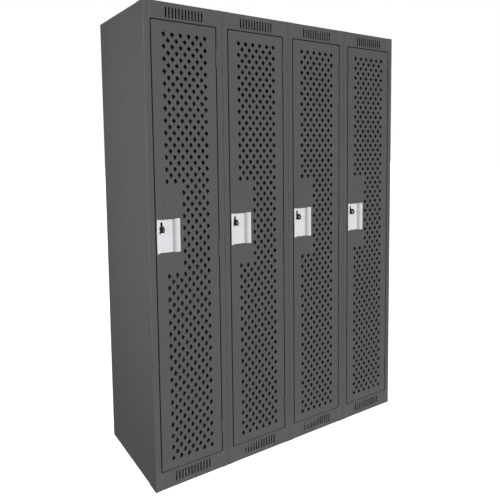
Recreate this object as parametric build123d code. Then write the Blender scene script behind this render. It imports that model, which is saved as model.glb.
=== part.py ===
from build123d import *
import os

# Bank of four single-tier steel lockers, in millimetres.
# Row frame: X to the right, Y from the front to the back, Z up from the floor.
# The origin is under the middle of the overall box, padlock staples included.
# Every unit is drawn from its own left boundary, its front face and the floor.

# Overall size
UNITS = 4
UNIT_WIDTH = 304.8
DEPTH = 533.4
HEIGHT = 1828.8
STAPLE_REACH = 18.0        # how far a padlock staple stands out of the front face

# Sheet thicknesses
FRAME_SHEET = 1.5
DOOR_SHEET = 1.2
LINER_SHEET = 0.9
BODY_SHEET = 1.0
BACK_SHEET = 0.9

# Front frame
SEAM = 1.0                 # neighbouring frames clamp a partition this thick
FRAME_RETURN = 65.0        # depth of the frame's outer returns
FRAME_BEND = 0.8           # inside radius of a fold
PARTITION_FRONT = 1.0      # front edge of a partition behind the front face
SIDE_FRONT = 4.0           # front edge of an outer side panel behind the front face
OPENING_LEFT = 23.9
OPENING_BOTTOM = 68.5
OPENING_TOP = 1764.8
STOP_DEPTH = 20.0          # front of the stop lip behind the door's edge
STOP_WIDTH = 12.0

# Vents in the top and bottom rails
VENT_COUNT = 12
VENT_PITCH = 12.7
VENT_WIDTH = 5.5
VENT_HEIGHT = 38.1
VENT_CENTRE_TOP = 1792.5
VENT_CENTRE_BOTTOM = 39.4

# Door
DOOR_GAP = 3.0
DOOR_DEPTH = 18.0
DOOR_EDGE_RADIUS = 1.8
LINER_DEPTH = 12.0         # front of the liner behind the door's face
LINER_FLANGE = 5.0

# Diamond perforations
DIAMOND_WIDTH = 18.0
DIAMOND_HEIGHT = 22.0
DIAMOND_COLUMNS = 6
DIAMOND_PITCH_X = 32.2
DIAMOND_ROWS = 37
DIAMOND_PITCH_Z = 44.45
DIAMOND_LOWEST = 114.3
BLANK_RIGHT = 130.0        # no diamonds left of this line beside the latch
BLANK_BOTTOM = 846.0
BLANK_TOP = 1160.0

# Recessed latch plate
PLATE_BOTTOM = 914.5
PLATE_TOP = 1042.5
PLATE_CLEARANCE = 0.5
PLATE_SHEET = 1.2
PLATE_BEND = 0.6
PLATE_RIM = 30.0
PLATE_STEP = 39.5          # where the rim drops into the pocket
PLATE_FLOOR_END = 93.0
PLATE_POCKET = 10.0        # pocket depth behind the door's face
PLATE_ROLL = 105.0         # where the pocket's rising side would meet the rim without its roll
PLATE_ROLL_BEND = 18.8
PLATE_ROLL_END = 113.0     # from here on the rim lies flat on the door's face
PLATE_END = 119.0
SLOT_WIDTH = 8.0
SLOT_BOTTOM = 990.0
SLOT_TOP = 1030.0

# Padlock staple
STAPLE_X = 51.5
STAPLE_THICK = 3.0
STAPLE_WIDTH = 25.0
STAPLE_Z = 1004.5
STAPLE_FOOT = 52.0
STAPLE_FOOT_LEFT = 24.5
STAPLE_HOLE_RADIUS = 4.5
STAPLE_HOLE_REACH = 7.0    # hole centre in front of the face

# Number-plate holes
NUMBER_HOLE_RADIUS = 2.2
NUMBER_HOLE_SPACING = 48.0
NUMBER_HOLE_X = 83.4
NUMBER_HOLE_Z = 1099.5

# Five-knuckle hinges
HINGE_PROUD = 1.0          # hinge axis in front of the face
HINGE_LENGTH = 62.0
HINGE_HEIGHTS = (185.0, 910.0, 1646.5)
KNUCKLE_COUNT = 5
KNUCKLE_GAP = 0.3
KNUCKLE_RADIUS = 4.0
KNUCKLE_BORE = 2.05
PIN_RADIUS = 2.0
PIN_HEAD_RADIUS = 3.0
PIN_HEAD = 1.2
LEAF_SHEET = 1.2
LEAF_START = 4.5           # front of a leaf behind the hinge axis
LEAF_DEPTH = 14.0
HINGE_RELIEF = 4.35        # radius cut out of the door and frame round the knuckles

# Shelf, hooks and pans
PAN_FLANGE = 15.0
SHELF_FLANGE = 20.0
SHELF_TOP = 1545.0
SHELF_FRONT = 66.0
BACK_FLANGE = 18.0
CORNER_NOTCH = 19.5        # room at the rear corners for the back panel's flanges
HOOK_SHEET = 2.5
HOOK_WIDTH = 14.0
HOOK_BEND = 3.0
HOOK_Y = 277.0
HOOK_RIVETS_Z = (1488.0, 1468.0)
CEILING_HOOK_WIDTH = 12.0

# Rivets and bumpers
RIVET_RADIUS = 2.2
RIVET_HEAD_RADIUS = 4.2
RIVET_HEAD = 1.4
RIVET_FIRST = 300.0
RIVET_STEP = 243.5
RIVET_COUNT = 6
FRONT_RIVET_Y = 50.0
REAR_RIVET_Y = 524.0
SHELF_RIVET_Y = (120.0, 470.0)
SHELF_RIVET_Z = 1535.0
BUMPER_RADIUS = 5.0
BUMPER_CLEARANCE = 0.3
BUMPER_HEIGHTS = (420.0, 1410.0)

# Anchor holes for the wall and the floor, in the two end units
ANCHOR_RADIUS = 4.5
WALL_ANCHOR_HEIGHTS = (300.0, 1700.0)
FLOOR_ANCHOR_DEPTHS = (150.0, 450.0)

# Worked out from the sizes above
HALF_SEAM = SEAM / 2
OPENING_RIGHT = UNIT_WIDTH - OPENING_LEFT
DOOR_LEFT = OPENING_LEFT + DOOR_GAP
DOOR_RIGHT = OPENING_RIGHT - DOOR_GAP
DOOR_BOTTOM = OPENING_BOTTOM + DOOR_GAP
DOOR_TOP = OPENING_TOP - DOOR_GAP
HINGE_X = (DOOR_RIGHT + OPENING_RIGHT) / 2
FRONT_Y = STAPLE_REACH - (DEPTH + STAPLE_REACH) / 2
RIVET_HEIGHTS = [RIVET_FIRST + k * RIVET_STEP for k in range(RIVET_COUNT)]
LAST = UNITS - 1


def block(x0, x1, y0, y1, z0, z1):
    """Box between two corners."""
    return Pos((x0 + x1) / 2, (y0 + y1) / 2, (z0 + z1) / 2) * Box(x1 - x0, y1 - y0, z1 - z0)


def rod_x(radius, x0, x1, y, z):
    """Cylinder along X."""
    return Pos((x0 + x1) / 2, y, z) * Rot(0, 90, 0) * Cylinder(radius, x1 - x0)


def rod_y(radius, x, y0, y1, z):
    """Cylinder along Y."""
    return Pos(x, (y0 + y1) / 2, z) * Rot(90, 0, 0) * Cylinder(radius, y1 - y0)


def rod_z(radius, x, y, z0, z1):
    """Cylinder along Z."""
    return Pos(x, y, (z0 + z1) / 2) * Cylinder(radius, z1 - z0)


def through_y(sketch, y0, y1):
    """Prism along Y of a sketch drawn with X to the right and Z up."""
    return extrude(Pos(0, y1, 0) * (Plane.XZ * sketch), y1 - y0)


def offset_path(points, distance):
    """The same path moved to its left by a distance."""
    steps = [(Vector(*b) - Vector(*a)).normalized() for a, b in zip(points, points[1:])]
    normals = [Vector(-step.Y, step.X) for step in steps]
    moved = [Vector(*points[0]) + normals[0] * distance]
    for point, before, after in zip(points[1:], normals, normals[1:]):
        moved.append(Vector(*point) + (before + after) * (distance / (1 + before.dot(after))))
    moved.append(Vector(*points[-1]) + normals[-1] * distance)
    return moved


def folded(points, thickness, *bends):
    """Section of a folded sheet. The points follow one surface and the metal lies on their left.
    bends are the inside radii of the folds in order; one radius alone serves every fold."""
    near = [Vector(*point) for point in points]
    far = offset_path(points, thickness)
    if len(bends) == 1:
        bends = bends * (len(points) - 2)
    near_radii = []
    far_radii = []
    for a, b, c, bend in zip(near, near[1:], near[2:], bends):
        turns_left = (b - a).cross(c - b).Z > 0
        near_radii.append(bend + thickness if turns_left else bend)
        far_radii.append(bend if turns_left else bend + thickness)
    outline = FilletPolyline(*near, radius=near_radii)
    outline += Line(near[-1], far[-1])
    outline += FilletPolyline(*far[::-1], radius=far_radii[::-1])
    outline += Line(far[0], near[0])
    return make_face(outline)


def mirrored(shape):
    """The same shape on the other side of a unit's middle plane."""
    return mirror(shape, Plane.YZ.offset(UNIT_WIDTH / 2))


def wall_faces(unit):
    """Inner faces of a unit's side walls."""
    left = HALF_SEAM + FRAME_SHEET + BODY_SHEET if unit == 0 else HALF_SEAM
    right = HALF_SEAM + FRAME_SHEET + BODY_SHEET if unit == LAST else HALF_SEAM
    return left, UNIT_WIDTH - right


def frame_faces(unit):
    """Inner faces at the sides of a unit's front frame."""
    left, right = wall_faces(unit)
    inside = HALF_SEAM + FRAME_SHEET
    return max(left, inside), min(right, UNIT_WIDTH - inside)


def rivet_heights_holes(solid, x0, x1, y):
    """Solid with the column of rivet holes cut through it."""
    for z in RIVET_HEIGHTS:
        solid -= rod_x(RIVET_RADIUS, x0, x1, y, z)
    return solid


# Front frame

def left_upright():
    """Folded upright: outer return, face, and a door-side return that ends in a stop lip."""
    outer = [(HALF_SEAM, FRAME_RETURN), (HALF_SEAM, 0), (OPENING_LEFT, 0)]
    lip = [(OPENING_LEFT, STOP_DEPTH), (OPENING_LEFT + STOP_WIDTH, STOP_DEPTH)]
    plain = folded(outer, FRAME_SHEET, FRAME_BEND)
    full = folded(outer + lip, FRAME_SHEET, FRAME_BEND)
    upright = Pos(0, 0, OPENING_BOTTOM) * extrude(full, OPENING_TOP - OPENING_BOTTOM)
    upright += extrude(plain, OPENING_BOTTOM)
    upright += Pos(0, 0, OPENING_TOP) * extrude(plain, HEIGHT - OPENING_TOP)
    return rivet_heights_holes(upright, 0, 5, FRONT_RIVET_Y)


def hinge_relief():
    """Clearance cylinders round the three hinges of one door."""
    reach = HINGE_LENGTH / 2 + PIN_HEAD + 0.5
    return [rod_z(HINGE_RELIEF, HINGE_X, -HINGE_PROUD, z - reach, z + reach) for z in HINGE_HEIGHTS]


def frame_uprights():
    """Latch-side and hinge-side uprights of one unit."""
    latch_side = left_upright()
    hinge_side = mirrored(latch_side)
    for relief in hinge_relief():
        hinge_side -= relief
    return [latch_side, hinge_side]


def vents(centre_z):
    """Row of vertical ventilation slots for a rail."""
    slot = RectangleRounded(VENT_WIDTH, VENT_HEIGHT, VENT_WIDTH * 0.3)
    row = Sketch()
    for k in range(VENT_COUNT):
        x = UNIT_WIDTH / 2 + (k - (VENT_COUNT - 1) / 2) * VENT_PITCH
        row += Pos(x, centre_z) * slot
    return through_y(row, -1, FRAME_SHEET + 1)


def rail(unit, outer_z, inner_z, vent_z):
    """Top or bottom rail: face with vents, outer return, and a return with a stop lip by the door."""
    inward = 1 if inner_z > outer_z else -1
    path = [
        (FRAME_RETURN, outer_z),
        (0, outer_z),
        (0, inner_z),
        (STOP_DEPTH, inner_z),
        (STOP_DEPTH, inner_z + inward * STOP_WIDTH),
    ]
    if inward > 0:
        path.reverse()
    section = Plane.YZ * folded(path, FRAME_SHEET, FRAME_BEND)
    body = Pos(OPENING_LEFT, 0, 0) * extrude(section, OPENING_RIGHT - OPENING_LEFT)
    lip_z = sorted((inner_z, inner_z + inward * (STOP_WIDTH + 1)))
    for x in (OPENING_LEFT, OPENING_RIGHT - STOP_WIDTH):
        body -= block(x, x + STOP_WIDTH, STOP_DEPTH - 2, STOP_DEPTH + 3, *lip_z)
    left, right = frame_faces(unit)
    edge_z = sorted((outer_z, outer_z + inward * FRAME_SHEET))
    wing_front = FRAME_SHEET + FRAME_BEND
    body += block(left, OPENING_LEFT, wing_front, FRAME_RETURN, *edge_z)
    body += block(OPENING_RIGHT, right, wing_front, FRAME_RETURN, *edge_z)
    return body - vents(vent_z)


# Doors

def diamond_centres():
    """Centres of the diamonds: a regular grid, an interleaved grid, and a blank beside the latch."""
    centres = []
    for row in range(2 * DIAMOND_ROWS - 1):
        interleaved = row % 2
        columns = DIAMOND_COLUMNS - interleaved
        z = DIAMOND_LOWEST + row * DIAMOND_PITCH_Z / 2
        for column in range(columns):
            x = UNIT_WIDTH / 2 + (column - (columns - 1) / 2) * DIAMOND_PITCH_X
            if x > BLANK_RIGHT + interleaved * DIAMOND_PITCH_X / 2 or not BLANK_BOTTOM < z < BLANK_TOP:
                centres.append((x, z))
    return centres


def door_panel():
    """Perforated pan with four flanges, a cut-out for the latch plate and relief for the hinges."""
    pan = block(DOOR_LEFT, DOOR_RIGHT, 0, DOOR_DEPTH, DOOR_BOTTOM, DOOR_TOP)
    front_edges = pan.faces().sort_by(Axis.Y)[0].edges()
    pan = fillet(front_edges, DOOR_EDGE_RADIUS)
    pan -= block(
        DOOR_LEFT + DOOR_SHEET, DOOR_RIGHT - DOOR_SHEET,
        DOOR_SHEET, DOOR_DEPTH + 1,
        DOOR_BOTTOM + DOOR_SHEET, DOOR_TOP - DOOR_SHEET,
    )
    half_x = DIAMOND_WIDTH / 2
    half_z = DIAMOND_HEIGHT / 2
    diamond = make_face(Polyline((half_x, 0), (0, half_z), (-half_x, 0), (0, -half_z), close=True))
    cuts = [through_y(Pos(x, z) * diamond, -1, DOOR_SHEET + 1) for x, z in diamond_centres()]
    cut_left = PLATE_STEP - PLATE_SHEET - PLATE_BEND - 0.1
    cuts.append(block(cut_left, PLATE_ROLL_END, -1, DOOR_SHEET + 1, PLATE_BOTTOM, PLATE_TOP))
    for side in (-0.5, 0.5):
        x = NUMBER_HOLE_X + side * NUMBER_HOLE_SPACING
        cuts.append(rod_y(NUMBER_HOLE_RADIUS, x, -1, DOOR_SHEET + 1, NUMBER_HOLE_Z))
    cuts += hinge_relief()
    return pan.cut(*cuts)


def door_liner():
    """Inner pan welded between the door's flanges, open behind the latch plate."""
    left = DOOR_LEFT + DOOR_SHEET
    right = DOOR_RIGHT - DOOR_SHEET
    bottom = DOOR_BOTTOM + DOOR_SHEET
    top = DOOR_TOP - DOOR_SHEET
    liner = block(left, right, LINER_DEPTH, LINER_DEPTH + LINER_FLANGE, bottom, top)
    liner -= block(
        left + LINER_SHEET, right - LINER_SHEET,
        LINER_DEPTH + LINER_SHEET, LINER_DEPTH + LINER_FLANGE + 1,
        bottom + LINER_SHEET, top - LINER_SHEET,
    )
    return liner - block(
        PLATE_RIM + 4, PLATE_END + 3,
        LINER_DEPTH - 1, LINER_DEPTH + LINER_SHEET + 1,
        PLATE_BOTTOM - 9, PLATE_TOP + 9,
    )


def latch_plate():
    """Bent plate: rim on the door's face, pocket with the staple slot, and a side that rolls over
    into the opposite rim."""
    path = [
        (PLATE_RIM, -PLATE_SHEET),
        (PLATE_STEP, -PLATE_SHEET),
        (PLATE_STEP, PLATE_POCKET),
        (PLATE_FLOOR_END, PLATE_POCKET),
        (PLATE_ROLL, -PLATE_SHEET),
        (PLATE_END, -PLATE_SHEET),
    ]
    section = folded(path, PLATE_SHEET, PLATE_BEND, PLATE_BEND, PLATE_BEND, PLATE_ROLL_BEND)
    bottom = PLATE_BOTTOM + PLATE_CLEARANCE
    top = PLATE_TOP - PLATE_CLEARANCE
    plate = Pos(0, 0, bottom) * extrude(section, top - bottom)
    slot = Rot(0, 0, 90) * SlotOverall(SLOT_TOP - SLOT_BOTTOM, SLOT_WIDTH)
    slot = Pos(STAPLE_X, (SLOT_TOP + SLOT_BOTTOM) / 2) * slot
    return plate - through_y(slot, PLATE_POCKET - 1, PLATE_POCKET + PLATE_SHEET + 1)


def knuckle_spans(z):
    """Bottom and top of each of a hinge's knuckles."""
    length = (HINGE_LENGTH - (KNUCKLE_COUNT - 1) * KNUCKLE_GAP) / KNUCKLE_COUNT
    start = z - HINGE_LENGTH / 2
    return [
        (start + k * (length + KNUCKLE_GAP), start + k * (length + KNUCKLE_GAP) + length)
        for k in range(KNUCKLE_COUNT)
    ]


def hinge_leaf(z, spans, leaf_left):
    """One leaf of a hinge: a strip, a tab to each of its knuckles, and the knuckles."""
    leaf_right = leaf_left + LEAF_SHEET
    front = LEAF_START - HINGE_PROUD
    half = HINGE_LENGTH / 2
    leaf = block(leaf_left, leaf_right, front, front + LEAF_DEPTH, z - half, z + half)
    for low, high in spans:
        leaf += block(leaf_left, leaf_right, front - 2, front, low, high)
        leaf += rod_z(KNUCKLE_RADIUS, HINGE_X, -HINGE_PROUD, low, high)
    return leaf - rod_z(KNUCKLE_BORE, HINGE_X, -HINGE_PROUD, z - half - 1, z + half + 1)


def door_hinge_leaves():
    """The leaves welded to one door, with the second and fourth knuckles."""
    return [hinge_leaf(z, knuckle_spans(z)[1::2], DOOR_RIGHT) for z in HINGE_HEIGHTS]


def frame_hinge_leaves():
    """The leaves welded to one frame, with the first, third and fifth knuckles."""
    return [hinge_leaf(z, knuckle_spans(z)[0::2], OPENING_RIGHT - LEAF_SHEET) for z in HINGE_HEIGHTS]


def hinge_pins():
    """Headed pins of one door's hinges."""
    pins = []
    for z in HINGE_HEIGHTS:
        low = z - HINGE_LENGTH / 2
        high = z + HINGE_LENGTH / 2
        pin = rod_z(PIN_RADIUS, HINGE_X, -HINGE_PROUD, low - PIN_HEAD, high + PIN_HEAD)
        pin += rod_z(PIN_HEAD_RADIUS, HINGE_X, -HINGE_PROUD, low - PIN_HEAD, low)
        pin += rod_z(PIN_HEAD_RADIUS, HINGE_X, -HINGE_PROUD, high, high + PIN_HEAD)
        pins.append(pin)
    return pins


def padlock_staple():
    """Bracket welded behind the stop lip, with a round-ended tab that passes through the door."""
    foot_front = STOP_DEPTH + FRAME_SHEET
    foot_back = foot_front + STAPLE_THICK
    tab_left = STAPLE_X - STAPLE_THICK / 2
    tab_right = STAPLE_X + STAPLE_THICK / 2
    half = STAPLE_WIDTH / 2
    foot = STAPLE_FOOT / 2
    end_y = half - STAPLE_REACH
    staple = block(STAPLE_FOOT_LEFT, tab_right, foot_front, foot_back, STAPLE_Z - foot, STAPLE_Z + foot)
    staple += block(tab_left, tab_right, end_y, foot_back, STAPLE_Z - half, STAPLE_Z + half)
    staple += rod_x(half, tab_left, tab_right, end_y, STAPLE_Z)
    return staple - rod_x(STAPLE_HOLE_RADIUS, tab_left - 1, tab_right + 1, -STAPLE_HOLE_REACH, STAPLE_Z)


def door_bumpers():
    """Rubber buttons on the latch-side stop lip of one unit."""
    x = OPENING_LEFT + STOP_WIDTH / 2
    front = DOOR_DEPTH + BUMPER_CLEARANCE
    return [rod_y(BUMPER_RADIUS, x, front, STOP_DEPTH, z) for z in BUMPER_HEIGHTS]


# Body sheets

def pan(unit, front, top_z, sheet, flange, inward):
    """Flat sheet with four flanges, used for tops, bottoms and shelves. inward is +1 up or -1 down."""
    left, right = wall_faces(unit)
    back = DEPTH - BACK_SHEET
    plate_z = sorted((top_z, top_z + inward * sheet))
    flange_z = sorted((top_z, top_z + inward * flange))
    body = block(left, right, front, back, *plate_z)
    body -= block(left, left + 1.5, back - CORNER_NOTCH, back, *plate_z)
    body -= block(right - 1.5, right, back - CORNER_NOTCH, back, *plate_z)
    body += block(left, left + sheet, front, back - CORNER_NOTCH, *flange_z)
    body += block(right - sheet, right, front, back - CORNER_NOTCH, *flange_z)
    body += block(left, right, front, front + sheet, *flange_z)
    body += block(left + 1.5, right - 1.5, back - sheet, back, *flange_z)
    return body


def top_panel(unit):
    """Roof of one unit, behind the top rail's return."""
    return pan(unit, FRAME_RETURN, HEIGHT, BODY_SHEET, PAN_FLANGE, -1)


def bottom_panel(unit):
    """Floor of one unit; the end units' floors have anchor holes."""
    body = pan(unit, FRAME_RETURN, 0, BODY_SHEET, PAN_FLANGE, 1)
    if unit in (0, LAST):
        for y in FLOOR_ANCHOR_DEPTHS:
            body -= rod_z(ANCHOR_RADIUS, UNIT_WIDTH / 2, y, -1, BODY_SHEET + 1)
    return body


def hat_shelf(unit):
    """Shelf riveted to both walls."""
    body = pan(unit, SHELF_FRONT, SHELF_TOP, BODY_SHEET, SHELF_FLANGE, -1)
    for y in SHELF_RIVET_Y:
        body -= rod_x(RIVET_RADIUS, -1, UNIT_WIDTH + 1, y, SHELF_RIVET_Z)
    return body


def back_panel(unit):
    """Back sheet with side flanges; the end units' backs have anchor holes."""
    left, right = wall_faces(unit)
    inside = DEPTH - BACK_SHEET
    body = block(left, right, inside, DEPTH, 0, HEIGHT)
    body += block(left, left + BACK_SHEET, inside - BACK_FLANGE, inside, 0, HEIGHT)
    body += block(right - BACK_SHEET, right, inside - BACK_FLANGE, inside, 0, HEIGHT)
    body = rivet_heights_holes(body, -1, UNIT_WIDTH + 1, REAR_RIVET_Y)
    if unit in (0, LAST):
        for z in WALL_ANCHOR_HEIGHTS:
            body -= rod_y(ANCHOR_RADIUS, UNIT_WIDTH / 2, inside - 1, DEPTH + 1, z)
    return body


def wall(x0, x1, front):
    """Side wall or partition with its rivet holes."""
    body = block(x0, x1, front, DEPTH, 0, HEIGHT)
    body = rivet_heights_holes(body, x0 - 1, x1 + 1, FRONT_RIVET_Y)
    body = rivet_heights_holes(body, x0 - 1, x1 + 1, REAR_RIVET_Y)
    for y in SHELF_RIVET_Y:
        body -= rod_x(RIVET_RADIUS, x0 - 1, x1 + 1, y, SHELF_RIVET_Z)
    for z in HOOK_RIVETS_Z:
        body -= rod_x(RIVET_RADIUS, x0 - 1, x1 + 1, HOOK_Y, z)
    return body


def wall_spans():
    """Left and right faces of the five walls, in the row's X."""
    spans = []
    for boundary in range(UNITS + 1):
        x = (boundary - UNITS / 2) * UNIT_WIDTH
        if boundary == 0:
            left = x + HALF_SEAM + FRAME_SHEET
            spans.append((left, left + BODY_SHEET))
        elif boundary == UNITS:
            right = x - HALF_SEAM - FRAME_SHEET
            spans.append((right - BODY_SHEET, right))
        else:
            spans.append((x - HALF_SEAM, x + HALF_SEAM))
    return spans


# Hooks and rivets

def side_hook(face_x, direction):
    """J-shaped strap hook on a wall face, bent towards +X or -X."""
    path = [(0, 1500), (0, 1450), (24, 1438), (34, 1462)]
    strap = Plane.XZ * folded(path, HOOK_SHEET, HOOK_BEND)
    hook = extrude(Pos(0, HOOK_Y + HOOK_WIDTH / 2, 0) * strap, HOOK_WIDTH)
    for z in HOOK_RIVETS_Z:
        hook -= rod_x(RIVET_RADIUS, -1, HOOK_SHEET + 1, HOOK_Y, z)
    if direction < 0:
        hook = mirror(hook, Plane.YZ)
    return Pos(face_x, 0, 0) * hook


def ceiling_hook():
    """Double-pronged hook welded under a shelf."""
    under = SHELF_TOP - BODY_SHEET
    middle = UNIT_WIDTH / 2
    path = [(0, under), (0, under - 60), (18, under - 70), (30, under - 48)]
    strap = Plane.XZ * folded(path, HOOK_SHEET, HOOK_BEND)
    half = CEILING_HOOK_WIDTH / 2
    prong = extrude(Pos(0, HOOK_Y + half, 0) * strap, CEILING_HOOK_WIDTH)
    hook = block(-16, 16, HOOK_Y - half, HOOK_Y + half, under - HOOK_SHEET, under)
    hook += prong
    hook += mirror(prong, Plane.YZ)
    return Pos(middle, 0, 0) * hook


def rivet(x0, x1, y, z):
    """Rivet along X with a low domed head on each end."""
    head = Cylinder(RIVET_HEAD_RADIUS, RIVET_HEAD)
    head = fillet(head.edges().sort_by(Axis.Z)[-1], RIVET_HEAD * 0.8)
    body = rod_x(RIVET_RADIUS, x0, x1, y, z)
    body += Pos(x1 + RIVET_HEAD / 2, y, z) * Rot(0, 90, 0) * head
    body += Pos(x0 - RIVET_HEAD / 2, y, z) * Rot(0, -90, 0) * head
    return body


def stack(boundary, per_side):
    """Faces that a rivet clamps at a wall: the wall with an equal sheet on each occupied side."""
    left, right = wall_spans()[boundary]
    return left - (per_side if boundary > 0 else 0), right + (per_side if boundary < UNITS else 0)


def frame_rivets():
    """Rivets through the frame's outer returns."""
    solids = []
    for boundary, (left, right) in enumerate(wall_spans()):
        x0 = left - FRAME_SHEET if boundary < UNITS else left
        x1 = right + FRAME_SHEET if boundary > 0 else right
        solids += [rivet(x0, x1, FRONT_RIVET_Y, z) for z in RIVET_HEIGHTS]
    return solids


def back_rivets():
    """Rivets through the back panels' flanges."""
    solids = []
    for boundary in range(UNITS + 1):
        x0, x1 = stack(boundary, BACK_SHEET)
        solids += [rivet(x0, x1, REAR_RIVET_Y, z) for z in RIVET_HEIGHTS]
    return solids


def shelf_rivets():
    """Rivets that hold the shelves and the side hooks."""
    solids = []
    for boundary in range(UNITS + 1):
        x0, x1 = stack(boundary, BODY_SHEET)
        solids += [rivet(x0, x1, y, SHELF_RIVET_Z) for y in SHELF_RIVET_Y]
        x0, x1 = stack(boundary, HOOK_SHEET)
        solids += [rivet(x0, x1, HOOK_Y, z) for z in HOOK_RIVETS_Z]
    return solids


def side_hooks():
    """One hook on each side of each unit."""
    solids = []
    for boundary, (left, right) in enumerate(wall_spans()):
        if boundary > 0:
            solids.append(side_hook(left, -1))
        if boundary < UNITS:
            solids.append(side_hook(right, 1))
    return solids


# Assembly

def place(unit, shape):
    """Shape drawn in a unit's own frame, moved to the row's frame."""
    return Pos((unit - UNITS / 2) * UNIT_WIDTH, FRONT_Y, 0) * shape


def group(solids):
    """Several separate solids in one node."""
    return Compound(children=[solid.solid() for solid in solids])


def build_nodes():
    """Every node by name."""
    panel = door_panel()
    liner = door_liner()
    plate = latch_plate()
    uprights = frame_uprights()
    nodes = {}
    for unit in range(UNITS):
        number = unit + 1
        nodes[f"door_panel_{number}"] = place(unit, panel)
        nodes[f"door_liner_{number}"] = place(unit, liner)
        nodes[f"latch_plate_{number}"] = place(unit, plate)
        nodes[f"door_hinge_leaves_{number}"] = group(place(unit, leaf) for leaf in door_hinge_leaves())
        nodes[f"frame_uprights_{number}"] = group(place(unit, upright) for upright in uprights)
        nodes[f"top_rail_{number}"] = place(unit, rail(unit, HEIGHT, OPENING_TOP, VENT_CENTRE_TOP))
        nodes[f"bottom_rail_{number}"] = place(unit, rail(unit, 0, OPENING_BOTTOM, VENT_CENTRE_BOTTOM))
        nodes[f"top_panel_{number}"] = place(unit, top_panel(unit))
        nodes[f"bottom_panel_{number}"] = place(unit, bottom_panel(unit))
        nodes[f"back_panel_{number}"] = place(unit, back_panel(unit))
        nodes[f"hat_shelf_{number}"] = place(unit, hat_shelf(unit))
    names = ["left_side_panel", "partition_1_2", "partition_2_3", "partition_3_4", "right_side_panel"]
    for boundary, (name, (left, right)) in enumerate(zip(names, wall_spans())):
        front = PARTITION_FRONT if 0 < boundary < UNITS else SIDE_FRONT
        nodes[name] = Pos(0, FRONT_Y, 0) * wall(left, right, front)
    units = range(UNITS)
    nodes["frame_hinge_leaves"] = group(place(unit, leaf) for unit in units for leaf in frame_hinge_leaves())
    nodes["hinge_pins"] = group(place(unit, pin) for unit in units for pin in hinge_pins())
    nodes["padlock_staples"] = group(place(unit, padlock_staple()) for unit in units)
    nodes["door_bumpers"] = group(place(unit, bumper) for unit in units for bumper in door_bumpers())
    nodes["ceiling_hooks"] = group(place(unit, ceiling_hook()) for unit in units)
    at_front = Pos(0, FRONT_Y, 0)
    nodes["side_hooks"] = group(at_front * hook for hook in side_hooks())
    nodes["frame_rivets"] = group(at_front * item for item in frame_rivets())
    nodes["back_rivets"] = group(at_front * item for item in back_rivets())
    nodes["shelf_rivets"] = group(at_front * item for item in shelf_rivets())
    return nodes


os.makedirs("parts", exist_ok=True)
for node_name, node_shape in build_nodes().items():
    export_step(node_shape, f"parts/{node_name}.step")
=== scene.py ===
import bpy
import math
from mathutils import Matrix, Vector


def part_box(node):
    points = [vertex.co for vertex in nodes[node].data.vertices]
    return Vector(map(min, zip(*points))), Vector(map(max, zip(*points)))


# Bank of four steel lockers. Metres, front towards -Y, Z up.
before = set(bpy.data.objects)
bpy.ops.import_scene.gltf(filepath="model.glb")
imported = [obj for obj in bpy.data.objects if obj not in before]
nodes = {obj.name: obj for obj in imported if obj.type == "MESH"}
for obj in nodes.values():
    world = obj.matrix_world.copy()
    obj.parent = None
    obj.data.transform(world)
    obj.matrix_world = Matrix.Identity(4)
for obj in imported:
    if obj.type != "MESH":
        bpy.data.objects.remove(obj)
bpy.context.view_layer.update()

# Camera, measured from the bank's front left foot
EYE_LEFT = 0.680
EYE_FRONT = 1.928
EYE_HEIGHT = 1.313
EYE_YAW = 37.33            # degrees to the right of straight ahead
EYE_PITCH = -4.89
LENS = 38.95
SENSOR_WIDTH = 36.0
SHIFT = (-0.144, -0.116)
FAR_CLIP = 200.0

# Light. A sun's size is its angle in degrees.
SKY = 0.09
KEY_TO_LIGHT = (0.40, -0.88, 0.30)
KEY_STRENGTH = 3.93
KEY_SIZE = 1.5
SIDE_FROM_FOOT = (-1.35, 0.14, 1.30)  # softbox, measured from the front left foot
SIDE_SIZE = (0.5, 2.4)
SIDE_POWER = 28.5
FILL_TO_LIGHT = (-0.80, -0.50, 0.33)
FILL_STRENGTH = 0.45
FILL_SIZE = 25.0
BACK_TO_LIGHT = (0.62, 0.72, 0.30)
BACK_STRENGTH = 2.0
BACK_SIZE = 12.0
FLOOR_GLOW = 0.80
FLOOR_HALF = 30.0

# Colours, linear
CHARCOAL = (0.084, 0.084, 0.0815)
# Painted shade: the charcoal darkened for the door liners and the hat shelf, so the shade seen behind the
# vent diamonds reads deeper; their real paint is the same charcoal
CHARCOAL_PAINTED_SHADE = (0.076, 0.076, 0.074)
CHARCOAL_HINGE = (0.086, 0.086, 0.0835)
CHARCOAL_STAPLE = (0.030, 0.030, 0.030)
PULL_GREY = (0.59, 0.60, 0.615)
BARE_STEEL = (0.42, 0.41, 0.39)
ZINC = (0.55, 0.55, 0.53)
BRIGHT_STEEL = (0.8, 0.8, 0.78)
RUBBER = (0.018, 0.018, 0.018)
DUST = (0.30, 0.285, 0.26)
FLOOR = (0.92, 0.92, 0.92)
WHITE = (1.0, 1.0, 1.0)

# Surface, metres
DUST_HEIGHT = 0.16         # dust fades out above this
ENAMEL_EDGE = 0.0016       # width of the rubbed edges
METAL_EDGE = 0.001
PEEL_DEPTH = 0.00012       # orange peel of the enamel
BRUSH_DEPTH = 0.00008
RUBBER_GRAIN_DEPTH = 0.0002
SHARP_ABOVE = 32           # degrees between faces that stay a sharp edge


# Node helpers

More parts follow.
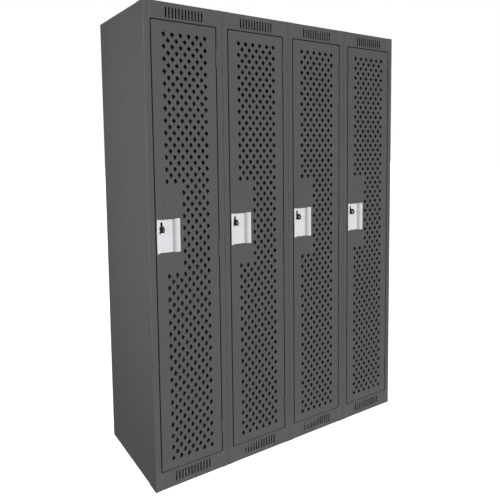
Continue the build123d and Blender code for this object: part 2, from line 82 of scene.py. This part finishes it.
class Graph:
    """A material's node tree, with short calls for the nodes used here."""

    def __init__(self, name):
        self.material = bpy.data.materials.new(name)
        self.material.use_nodes = True
        self.tree = self.material.node_tree
        self.tree.nodes.clear()
        self.output = self.tree.nodes.new("ShaderNodeOutputMaterial")
        self.shader = self.tree.nodes.new("ShaderNodeBsdfPrincipled")
        self.link(self.shader.outputs["BSDF"], self.output.inputs["Surface"])
        self.place = self.tree.nodes.new("ShaderNodeTexCoord").outputs["Object"]

    def link(self, out, into):
        self.tree.links.new(out, into)

    def feed(self, socket, value):
        if hasattr(value, "links"):
            self.link(value, socket)
        else:
            socket.default_value = value

    def noise(self, scale, detail=2.0, roughness=0.5, stretch=None):
        node = self.tree.nodes.new("ShaderNodeTexNoise")
        node.inputs["Scale"].default_value = scale
        node.inputs["Detail"].default_value = detail
        node.inputs["Roughness"].default_value = roughness
        self.link(self.stretched(stretch), node.inputs["Vector"])
        return node.outputs["Fac"]

    def stretched(self, stretch):
        if stretch is None:
            return self.place
        node = self.tree.nodes.new("ShaderNodeMapping")
        node.inputs["Scale"].default_value = stretch
        self.link(self.place, node.inputs["Vector"])
        return node.outputs["Vector"]

    def remap(self, value, low, high, to_low=0.0, to_high=1.0):
        node = self.tree.nodes.new("ShaderNodeMapRange")
        node.clamp = True
        self.link(value, node.inputs["Value"])
        limits = {"From Min": low, "From Max": high, "To Min": to_low, "To Max": to_high}
        for socket, number in limits.items():
            node.inputs[socket].default_value = number
        return node.outputs["Result"]

    def math(self, operation, a, b=0.0):
        node = self.tree.nodes.new("ShaderNodeMath")
        node.operation = operation
        node.use_clamp = operation == "ADD"
        self.feed(node.inputs[0], a)
        self.feed(node.inputs[1], b)
        return node.outputs["Value"]

    def mix(self, factor, a, b):
        node = self.tree.nodes.new("ShaderNodeMix")
        node.data_type = "RGBA"
        self.feed(node.inputs["Factor"], factor)
        self.feed(node.inputs["A"], a)
        self.feed(node.inputs["B"], b)
        return node.outputs["Result"]

    def height(self):
        node = self.tree.nodes.new("ShaderNodeSeparateXYZ")
        self.link(self.place, node.inputs["Vector"])
        return node.outputs["Z"]

    def edges(self, radius, low=0.03, high=0.22):
        """Mask of sharp edges, from the difference between the rounded and the true normal."""
        bevel = self.tree.nodes.new("ShaderNodeBevel")
        bevel.samples = 4
        bevel.inputs["Radius"].default_value = radius
        normal = self.tree.nodes.new("ShaderNodeNewGeometry").outputs["Normal"]
        dot = self.tree.nodes.new("ShaderNodeVectorMath")
        dot.operation = "DOT_PRODUCT"
        self.link(bevel.outputs["Normal"], dot.inputs[0])
        self.link(normal, dot.inputs[1])
        return self.remap(dot.outputs["Value"], 1 - high, 1 - low, 1.0, 0.0)

    def bump(self, height, strength, distance):
        node = self.tree.nodes.new("ShaderNodeBump")
        node.inputs["Strength"].default_value = strength
        node.inputs["Distance"].default_value = distance
        self.link(height, node.inputs["Height"])
        self.link(node.outputs["Normal"], self.shader.inputs["Normal"])


def rgba(colour, gain=1.0):
    """Opaque colour, brightened or darkened by a gain."""
    return (colour[0] * gain, colour[1] * gain, colour[2] * gain, 1.0)


# Materials

def enamel(name, colour, rough=(0.40, 0.48), wear=0.5, dusty=True):
    """Baked enamel on sheet steel: slight clouding, orange peel, rubbed edges and dust near the floor."""
    g = Graph(name)
    clouds = g.remap(g.noise(2.6, 5.0, 0.6), 0.35, 0.65)
    base = g.mix(clouds, rgba(colour, 0.975), rgba(colour, 1.025))
    specks = g.remap(g.noise(420.0, 2.0, 0.7), 0.66, 0.74)
    base = g.mix(g.math("MULTIPLY", specks, 0.18), base, rgba(colour, 1.7))
    edges = g.edges(ENAMEL_EDGE)
    patches = g.remap(g.noise(38.0, 4.0, 0.6), 0.42, 0.62, 0.1, 1.0)
    rubbed = g.math("MULTIPLY", edges, patches)
    base = g.mix(g.math("MULTIPLY", rubbed, wear), base, rgba(BARE_STEEL))
    roughness = g.remap(g.noise(14.0, 4.0, 0.6), 0.3, 0.7, *rough)
    if dusty:
        low = g.remap(g.height(), 0.0, DUST_HEIGHT, 1.0, 0.0)
        dust = g.math("MULTIPLY", low, g.remap(g.noise(30.0, 5.0, 0.65), 0.40, 0.75))
        base = g.mix(g.math("MULTIPLY", dust, 0.10), base, rgba(DUST))
        roughness = g.math("ADD", roughness, g.math("MULTIPLY", dust, 0.2))
    g.link(base, g.shader.inputs["Base Color"])
    g.link(roughness, g.shader.inputs["Roughness"])
    g.shader.inputs["Specular IOR Level"].default_value = 0.42
    g.bump(g.noise(620.0, 2.0, 0.5), 0.22, PEEL_DEPTH)
    return g.material


def metal(name, colour, rough, brush):
    """Bare or plated steel with fine brushing along one direction."""
    g = Graph(name)
    lines = g.noise(900.0, 3.0, 0.6, brush)
    tone = g.mix(g.remap(g.noise(18.0, 4.0, 0.6), 0.3, 0.7), rgba(colour, 0.86), rgba(colour, 1.1))
    rubbed = g.math("MULTIPLY", g.edges(METAL_EDGE), 0.5)
    tone = g.mix(rubbed, tone, rgba(BRIGHT_STEEL))
    g.link(tone, g.shader.inputs["Base Color"])
    g.shader.inputs["Metallic"].default_value = 1.0
    g.link(g.remap(lines, 0.3, 0.7, *rough), g.shader.inputs["Roughness"])
    g.bump(lines, 0.18, BRUSH_DEPTH)
    return g.material


def rubber(name):
    """Matt black rubber with a fine grain."""
    g = Graph(name)
    grain = g.noise(1500.0, 3.0, 0.6)
    g.link(g.mix(grain, rgba(RUBBER, 0.8), rgba(RUBBER, 1.5)), g.shader.inputs["Base Color"])
    g.link(g.remap(grain, 0.3, 0.7, 0.68, 0.88), g.shader.inputs["Roughness"])
    g.bump(grain, 0.35, RUBBER_GRAIN_DEPTH)
    return g.material


def dress(material, *names):
    """Gives one material to CAD nodes, which keep their shape and place."""
    for name in names:
        mesh = nodes[name].data
        mesh.materials.clear()
        mesh.materials.append(material)


def dress_all():
    """Every node gets the finish of its family, and charcoal enamel if it has none of its own."""
    charcoal = enamel("charcoal_enamel", CHARCOAL)
    # Painted shade: a darker copy of the charcoal enamel, used for the door liners and the hat shelf
    inner_painted_shade = enamel("charcoal_enamel_painted_shade", CHARCOAL_PAINTED_SHADE, (0.42, 0.56), wear=0.25)
    pull = enamel("pull_enamel", PULL_GREY, (0.30, 0.42), wear=0.08, dusty=False)
    staple = enamel("staple_enamel", CHARCOAL_STAPLE, (0.38, 0.52), wear=0.7, dusty=False)
    hinge = enamel("hinge_enamel", CHARCOAL_HINGE, (0.38, 0.50), wear=0.3, dusty=False)
    pin = metal("pin_steel", BARE_STEEL, (0.28, 0.42), (1.0, 1.0, 0.05))
    zinc = metal("zinc_plate", ZINC, (0.30, 0.46), (1.0, 1.0, 0.08))
    black = rubber("bumper_rubber")
    finishes = {
        "latch_plate": pull,
        "padlock_staples": staple,
        "door_hinge_leaves": hinge,
        "frame_hinge_leaves": hinge,
        "hinge_pins": pin,
        "side_hooks": zinc,
        "ceiling_hooks": zinc,
        "door_bumpers": black,
        # door liners and hat shelf take the darker charcoal copy, which is painted shade
        "door_liner": inner_painted_shade,
        "hat_shelf": inner_painted_shade,
    }
    for name in nodes:
        family = name.rstrip("0123456789_")
        dress(finishes.get(family, charcoal), name)


# Stage

def foot():
    """Left and front of the bank's front left foot."""
    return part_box("frame_uprights_1")[0].x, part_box("door_panel_1")[0].y


def add_camera():
    """Camera at the front left, turned towards the bank and a little downwards."""
    left, front = foot()
    data = bpy.data.cameras.new("camera")
    data.lens = LENS
    data.sensor_width = SENSOR_WIDTH
    data.shift_x, data.shift_y = SHIFT
    data.clip_end = FAR_CLIP
    camera = bpy.data.objects.new("camera", data)
    camera.location = (left - EYE_LEFT, front - EYE_FRONT, EYE_HEIGHT)
    camera.rotation_euler = (math.radians(90 + EYE_PITCH), 0.0, math.radians(-EYE_YAW))
    bpy.context.scene.collection.objects.link(camera)
    bpy.context.scene.camera = camera


def add_sun(name, to_light, strength, size):
    data = bpy.data.lights.new(name, "SUN")
    data.energy = strength
    data.angle = math.radians(size)
    light = bpy.data.objects.new(name, data)
    light.rotation_euler = Vector(to_light).to_track_quat("Z", "Y").to_euler()
    bpy.context.scene.collection.objects.link(light)
    return light


def add_softbox():
    """Tall softbox at the left, which lights the side panel and misses the fronts."""
    left, front = foot()
    data = bpy.data.lights.new("softbox", "AREA")
    data.energy = SIDE_POWER
    data.shape = "RECTANGLE"
    data.size, data.size_y = SIDE_SIZE
    light = bpy.data.objects.new("softbox", data)
    light.location = (left + SIDE_FROM_FOOT[0], front + SIDE_FROM_FOOT[1], SIDE_FROM_FOOT[2])
    light.rotation_euler = Vector((-1.0, 0.0, 0.0)).to_track_quat("Z", "Y").to_euler()
    light.visible_camera = False
    bpy.context.scene.collection.objects.link(light)


def add_world():
    """White studio: the backdrop shows as white, and its fill light is weaker than it looks."""
    world = bpy.data.worlds.new("studio")
    world.use_nodes = True
    tree = world.node_tree
    background = tree.nodes["Background"]
    background.inputs["Color"].default_value = rgba(WHITE)
    strength = tree.nodes.new("ShaderNodeMapRange")
    strength.inputs["To Min"].default_value = SKY
    strength.inputs["To Max"].default_value = 1.0
    seen = tree.nodes.new("ShaderNodeLightPath").outputs["Is Camera Ray"]
    tree.links.new(seen, strength.inputs["Value"])
    tree.links.new(strength.outputs["Result"], background.inputs["Strength"])
    bpy.context.scene.world = world


def add_lights():
    add_world()
    add_sun("key", KEY_TO_LIGHT, KEY_STRENGTH, KEY_SIZE).visible_glossy = False
    add_softbox()
    add_sun("fill", FILL_TO_LIGHT, FILL_STRENGTH, FILL_SIZE).visible_glossy = False
    add_sun("back", BACK_TO_LIGHT, BACK_STRENGTH, BACK_SIZE)


def add_floor():
    """Pale floor for the camera only: it neither lights the lockers nor shows in their gloss."""
    far = FLOOR_HALF
    corners = [(-far, -far, 0), (far, -far, 0), (far, far, 0), (-far, far, 0)]
    mesh = bpy.data.meshes.new("floor")
    mesh.from_pydata(corners, [], [(0, 1, 2, 3)])
    floor = bpy.data.objects.new("floor", mesh)
    bpy.context.scene.collection.objects.link(floor)
    g = Graph("floor")
    tone = g.mix(g.noise(3.0, 3.0), rgba(FLOOR, 0.985), rgba(FLOOR, 1.0))
    g.link(tone, g.shader.inputs["Base Color"])
    g.shader.inputs["Roughness"].default_value = 0.8
    g.shader.inputs["Emission Color"].default_value = rgba(WHITE)
    g.shader.inputs["Emission Strength"].default_value = FLOOR_GLOW
    floor.visible_diffuse = False
    floor.visible_glossy = False
    mesh.materials.append(g.material)


def smooth_bends():
    """Smooth shading across fillets and round pieces, sharp at folds and cut edges."""
    for node in nodes.values():
        node.data.shade_smooth()
        node.data.set_sharp_from_angle(angle=math.radians(SHARP_ABOVE))


add_camera()
add_lights()
add_floor()
smooth_bends()
dress_all()
bpy.context.scene.view_settings.view_transform = "Standard"
